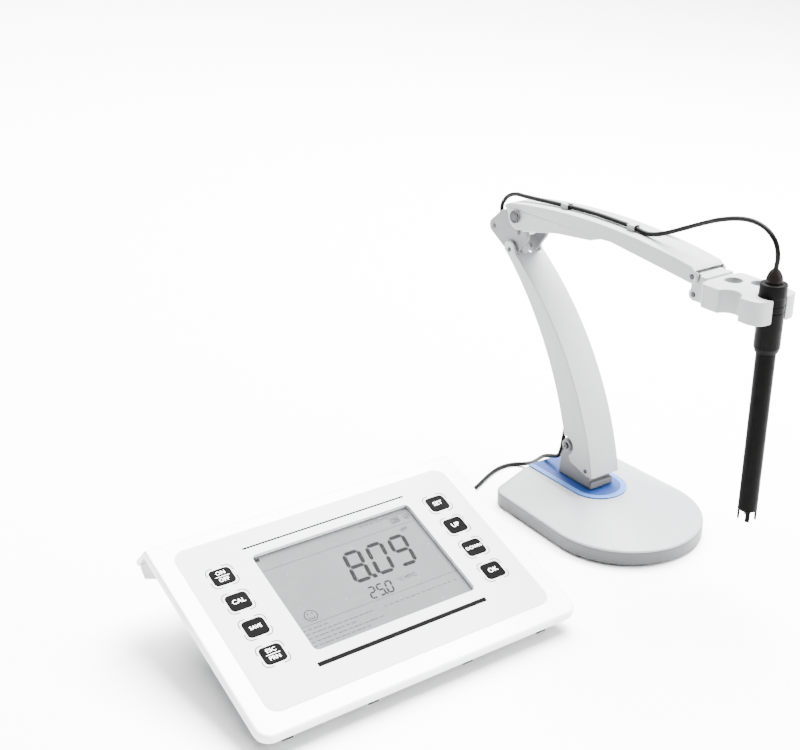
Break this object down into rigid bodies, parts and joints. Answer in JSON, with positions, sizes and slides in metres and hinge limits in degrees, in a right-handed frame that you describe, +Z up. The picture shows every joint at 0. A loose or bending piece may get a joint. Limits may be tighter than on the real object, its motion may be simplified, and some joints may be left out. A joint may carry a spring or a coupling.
{
  "type": "bench pH meter",
  "caption": "Bench pH meter with a sloping display case and a parallel-arm stand that carries a pH electrode on a lead.",
  "frame": {"origin": "middle of the footprint of meter, stand and electrode, on the bench", "axes": "+X to the right along the meter's front edge, +Y to the rear, +Z up"},
  "size_m": [0.3886, 0.2634, 0.2458],
  "materials": {
    "case_white": "satin moulded",
    "case_grey": "fine texture",
    "key_black": "matt",
    "lens_clear": "clear",
    "display_grey": "smooth",
    "dark_plastic": "matt",
    "board_green": "solder mask",
    "plated": "plated",
    "steel": "turned",
    "foot_rubber": "matt",
    "arm_white": "satin moulded",
    "base_grey": "satin moulded",
    "trim_blue": "smooth",
    "iron": "rough",
    "link_grey": "matt",
    "probe_black": "smooth",
    "glass_bulb": "blown",
    "lead_black": "smooth"
  },
  "bodies": {
    "bench_set": {"top_cover": "case_white", "case_tray": "case_grey", "case_foot": "case_grey", "display_lens": "lens_clear", "display_glass": "display_grey", "display_frame": "dark_plastic", "main_board": "board_green", "key_switches": "dark_plastic", "socket_board": "board_green", "ph_socket": "plated", "temp_socket": "dark_plastic", "serial_socket": "plated", "power_socket": "dark_plastic", "case_feet": "foot_rubber", "case_screws": "steel", "stand_base": "base_grey", "base_weight": "iron", "base_feet": "foot_rubber", "base_trim": "trim_blue", "swivel_bolt": "steel", "swivel_washer": "dark_plastic", "lead_table": "lead_black", "lead_plug": "plated"},
    "power_key": {"key_power": "key_black"},
    "cal_key": {"key_cal": "key_black"},
    "save_key": {"key_save": "key_black"},
    "esc_key": {"key_esc": "key_black"},
    "set_key": {"key_set": "key_black"},
    "up_key": {"key_up": "key_black"},
    "down_key": {"key_down": "key_black"},
    "ok_key": {"key_ok": "key_black"},
    "swivel_block": {"pivot_block": "base_grey", "block_axle": "steel", "block_pins": "steel"},
    "lower_arm_body": {"lower_arm": "arm_white", "lead_lower": "lead_black", "lead_foot": "lead_black"},
    "lower_link_body": {"lower_link": "link_grey"},
    "elbow": {"elbow_bracket": "link_grey", "elbow_axle": "steel", "elbow_pins": "steel", "lead_elbow_low": "lead_black"},
    "upper_arm_body": {"upper_arm": "arm_white", "lead_clips": "arm_white", "lead_upper": "lead_black", "lead_elbow_top": "lead_black"},
    "upper_link_body": {"upper_link": "link_grey"},
    "holder": {"probe_holder": "arm_white", "holder_pins": "steel", "lead_loop": "lead_black"},
    "electrode": {"probe_cap": "probe_black", "probe_shaft": "probe_black", "probe_tip": "glass_bulb", "probe_gland": "lead_black", "lead_probe": "lead_black"}
  },
  "joints": [
    {"name": "power_press", "type": "slide", "parent": "bench_set", "child": "power_key", "axis": [0, 0.3256, -0.9455], "range_m": [0, 0.0005], "stiffness_N_per_m": 300, "springref_m": -0.0008},
    {"name": "cal_press", "type": "slide", "parent": "bench_set", "child": "cal_key", "axis": [0, 0.3256, -0.9455], "range_m": [0, 0.0005], "stiffness_N_per_m": 300, "springref_m": -0.0008},
    {"name": "save_press", "type": "slide", "parent": "bench_set", "child": "save_key", "axis": [0, 0.3256, -0.9455], "range_m": [0, 0.0005], "stiffness_N_per_m": 300, "springref_m": -0.0008},
    {"name": "esc_press", "type": "slide", "parent": "bench_set", "child": "esc_key", "axis": [0, 0.3256, -0.9455], "range_m": [0, 0.0005], "stiffness_N_per_m": 300, "springref_m": -0.0008},
    {"name": "set_press", "type": "slide", "parent": "bench_set", "child": "set_key", "axis": [0, 0.3256, -0.9455], "range_m": [0, 0.0005], "stiffness_N_per_m": 300, "springref_m": -0.0008},
    {"name": "up_press", "type": "slide", "parent": "bench_set", "child": "up_key", "axis": [0, 0.3256, -0.9455], "range_m": [0, 0.0005], "stiffness_N_per_m": 300, "springref_m": -0.0008},
    {"name": "down_press", "type": "slide", "parent": "bench_set", "child": "down_key", "axis": [0, 0.3256, -0.9455], "range_m": [0, 0.0005], "stiffness_N_per_m": 300, "springref_m": -0.0008},
    {"name": "ok_press", "type": "slide", "parent": "bench_set", "child": "ok_key", "axis": [0, 0.3256, -0.9455], "range_m": [0, 0.0005], "stiffness_N_per_m": 300, "springref_m": -0.0008},
    {"name": "stand_swivel", "type": "hinge", "parent": "bench_set", "child": "swivel_block", "pos_m": [0.13775, 0.02501, 0.022], "axis": [0, 0, 1], "range_deg": [-30, 60], "deforming": ["lead_table"]},
    {"name": "lower_arm_tilt", "type": "hinge", "parent": "swivel_block", "child": "lower_arm_body", "pos_m": [0.13775, 0.01201, 0.0355], "axis": [1, 0, 0], "range_deg": [-1, 25], "deforming": ["lead_foot"]},
    {"name": "lower_link_tilt", "type": "hinge", "parent": "swivel_block", "child": "lower_link_body", "pos_m": [0.13775, 0.03301, 0.0475], "axis": [1, 0, 0], "range_deg": [-1, 25]},
    {"name": "elbow_level", "type": "hinge", "parent": "lower_arm_body", "child": "elbow", "pos_m": [0.13775, 0.1044, 0.17509], "axis": [1, 0, 0], "range_deg": [-25, 1], "deforming": ["lead_elbow_low"]},
    {"name": "upper_arm_tilt", "type": "hinge", "parent": "elbow", "child": "upper_arm_body", "pos_m": [0.13775, 0.0974, 0.20109], "axis": [1, 0, 0], "range_deg": [-9, 12], "deforming": ["lead_elbow_top"]},
    {"name": "upper_link_tilt", "type": "hinge", "parent": "elbow", "child": "upper_link_body", "pos_m": [0.13775, 0.0974, 0.18909], "axis": [1, 0, 0], "range_deg": [-9, 12]},
    {"name": "holder_level", "type": "hinge", "parent": "upper_arm_body", "child": "holder", "pos_m": [0.13775, -0.0704, 0.20379], "axis": [1, 0, 0], "range_deg": [-12, 9], "deforming": ["lead_loop"]},
    {"name": "electrode_slide", "type": "slide", "parent": "holder", "child": "electrode", "axis": [0, 0, 1], "range_m": [0, 0.03], "deforming": ["lead_probe"]}
  ],
  "couplings": [
    {"joint": "lower_link_tilt", "follows": "lower_arm_tilt", "ratio": 1},
    {"joint": "elbow_level", "follows": "lower_arm_tilt", "ratio": -1},
    {"joint": "upper_link_tilt", "follows": "upper_arm_tilt", "ratio": 1},
    {"joint": "holder_level", "follows": "upper_arm_tilt", "ratio": -1}
  ]
}
